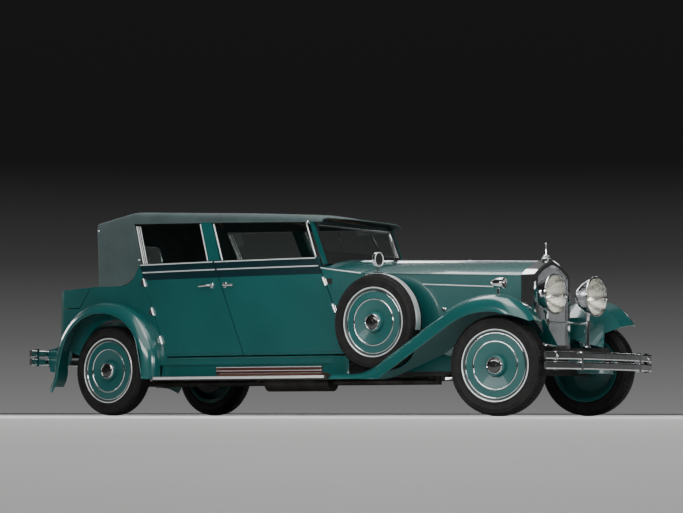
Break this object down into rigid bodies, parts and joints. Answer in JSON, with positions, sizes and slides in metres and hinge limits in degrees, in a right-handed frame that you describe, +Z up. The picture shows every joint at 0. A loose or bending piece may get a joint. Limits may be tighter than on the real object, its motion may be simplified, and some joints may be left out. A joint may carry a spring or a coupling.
{
  "type": "convertible sedan",
  "caption": "Long four-door convertible sedan with a cloth top, raked doors opening from the centre, side-mounted spares, bullet headlamps and a tall slatted radiator.",
  "frame": {"origin": "centre of the overall box on the floor the wheels stand on", "axes": "+X forward along the car, +Y to its left, +Z up"},
  "size_m": [5.8, 1.7364, 1.8458],
  "materials": {
    "body_paint": "gloss",
    "chassis_black": "satin",
    "chrome": "polished",
    "tyre": "matte",
    "top_fabric": "matte",
    "leather": "satin",
    "glass": "clear",
    "lens": "clear",
    "red_lens": "clear",
    "iron": "matte",
    "steel": "satin",
    "wood": "satin",
    "black_plastic": "gloss"
  },
  "bodies": {
    "chassis": {"centre_posts": "body_paint", "cowl": "body_paint", "dashboard": "wood", "door_hinges": "chrome", "engine": "iron", "exhaust": "steel", "fixed_glass": "glass", "floor": "chassis_black", "frame": "chassis_black", "front_axle": "chassis_black", "front_bumper": "chrome", "front_seat": "leather", "front_wings": "body_paint", "fuel_tank": "chassis_black", "headlamp_lenses": "lens", "headlamps": "chrome", "hood_ledges": "chassis_black", "leaf_springs": "chassis_black", "mirrors": "chrome", "radiator_core": "steel", "radiator_shell": "chrome", "rear_axle": "chassis_black", "rear_body": "body_paint", "rear_bumper": "chrome", "rear_seat": "leather", "rear_wings": "body_paint", "running_boards": "body_paint", "side_lamps": "chrome", "soft_top": "top_fabric", "spare_tyres": "tyre", "spare_wheels": "body_paint", "steering_column": "black_plastic", "step_pads": "wood", "tail_lamps": "red_lens", "valances": "body_paint", "windscreen_frame": "body_paint"},
    "front_wheel_left": {"wheel_front_left": "body_paint", "tyre_front_left": "tyre"},
    "rear_wheel_left": {"wheel_rear_left": "body_paint", "tyre_rear_left": "tyre"},
    "knuckle_left": {"knuckle_left": "chassis_black"},
    "front_door_left": {"door_front_left": "body_paint", "door_glass_front_left": "glass"},
    "rear_door_left": {"door_rear_left": "body_paint", "door_glass_rear_left": "glass"},
    "hood_top_left": {"hood_top_left": "body_paint"},
    "hood_leaf_left": {"hood_leaf_left": "body_paint"},
    "front_wheel_right": {"wheel_front_right": "body_paint", "tyre_front_right": "tyre"},
    "rear_wheel_right": {"wheel_rear_right": "body_paint", "tyre_rear_right": "tyre"},
    "knuckle_right": {"knuckle_right": "chassis_black"},
    "front_door_right": {"door_front_right": "body_paint", "door_glass_front_right": "glass"},
    "rear_door_right": {"door_rear_right": "body_paint", "door_glass_rear_right": "glass"},
    "hood_top_right": {"hood_top_right": "body_paint"},
    "hood_leaf_right": {"hood_leaf_right": "body_paint"},
    "trunk_lid": {"trunk_lid": "body_paint"},
    "steering_wheel": {"steering_wheel": "black_plastic"}
  },
  "joints": [
    {"name": "steer_left", "type": "hinge", "parent": "chassis", "child": "knuckle_left", "pos_m": [2.255, 0.615, 0.4], "axis": [0, 0, 1], "range_deg": [-40, 20]},
    {"name": "front_wheel_left_spin", "type": "hinge", "parent": "knuckle_left", "child": "front_wheel_left", "pos_m": [2.24024, 0.69871, 0.4], "axis": [-0.1736, 0.9848, 0], "continuous": true},
    {"name": "rear_wheel_left_spin", "type": "hinge", "parent": "chassis", "child": "rear_wheel_left", "pos_m": [-1.845, 0.7, 0.4], "axis": [0, 1, 0], "continuous": true},
    {"name": "front_door_left_hinge", "type": "hinge", "parent": "chassis", "child": "front_door_left", "pos_m": [0.55167, 0.61099, 0.92], "axis": [0.374, -0.0556, -0.9257], "range_deg": [0, 65]},
    {"name": "rear_door_left_hinge", "type": "hinge", "parent": "chassis", "child": "rear_door_left", "pos_m": [-1.36433, 0.7295, 0.92], "axis": [-0.3746, -0.009, 0.9271], "range_deg": [0, 65]},
    {"name": "hood_top_left_hinge", "type": "hinge", "parent": "chassis", "child": "hood_top_left", "pos_m": [1.5135, 0, 1.29], "axis": [0.9992, 0, -0.0406], "range_deg": [0, 45]},
    {"name": "hood_leaf_left_hinge", "type": "hinge", "parent": "hood_top_left", "child": "hood_leaf_left", "pos_m": [1.5135, 0.4106, 1.1635], "axis": [0.9768, -0.2108, -0.0376], "range_deg": [-45, 0]},
    {"name": "steer_right", "type": "hinge", "parent": "chassis", "child": "knuckle_right", "pos_m": [2.255, -0.615, 0.4], "axis": [0, 0, 1], "range_deg": [-40, 20]},
    {"name": "front_wheel_right_spin", "type": "hinge", "parent": "knuckle_right", "child": "front_wheel_right", "pos_m": [2.26976, -0.69871, 0.4], "axis": [-0.1736, 0.9848, 0], "continuous": true},
    {"name": "rear_wheel_right_spin", "type": "hinge", "parent": "chassis", "child": "rear_wheel_right", "pos_m": [-1.845, -0.7, 0.4], "axis": [0, 1, 0], "continuous": true},
    {"name": "front_door_right_hinge", "type": "hinge", "parent": "chassis", "child": "front_door_right", "pos_m": [0.55167, -0.61099, 0.92], "axis": [-0.374, -0.0556, 0.9257], "range_deg": [0, 65]},
    {"name": "rear_door_right_hinge", "type": "hinge", "parent": "chassis", "child": "rear_door_right", "pos_m": [-1.36433, -0.7295, 0.92], "axis": [0.3746, -0.009, -0.9271], "range_deg": [0, 65]},
    {"name": "hood_top_right_hinge", "type": "hinge", "parent": "chassis", "child": "hood_top_right", "pos_m": [1.5135, 0, 1.29], "axis": [-0.9992, 0, 0.0406], "range_deg": [0, 45]},
    {"name": "hood_leaf_right_hinge", "type": "hinge", "parent": "hood_top_right", "child": "hood_leaf_right", "pos_m": [1.5135, -0.4106, 1.1635], "axis": [-0.9768, -0.2108, 0.0376], "range_deg": [-45, 0]},
    {"name": "trunk_lid_hinge", "type": "hinge", "parent": "chassis", "child": "trunk_lid", "pos_m": [-2.1865, 0, 1.154], "axis": [0, 1, 0], "range_deg": [0, 60]},
    {"name": "steering_wheel_turn", "type": "hinge", "parent": "chassis", "child": "steering_wheel", "pos_m": [0.145, 0.33, 1.13], "axis": [-0.766, 0, 0.6428], "range_deg": [-520, 260]}
  ],
  "couplings": [
    {"joint": "hood_leaf_left_hinge", "follows": "hood_top_left_hinge", "ratio": -1},
    {"joint": "hood_leaf_right_hinge", "follows": "hood_top_right_hinge", "ratio": -1},
    {"joint": "steer_right", "follows": "steer_left", "ratio": 1},
    {"joint": "steering_wheel_turn", "follows": "steer_left", "ratio": 13}
  ]
}
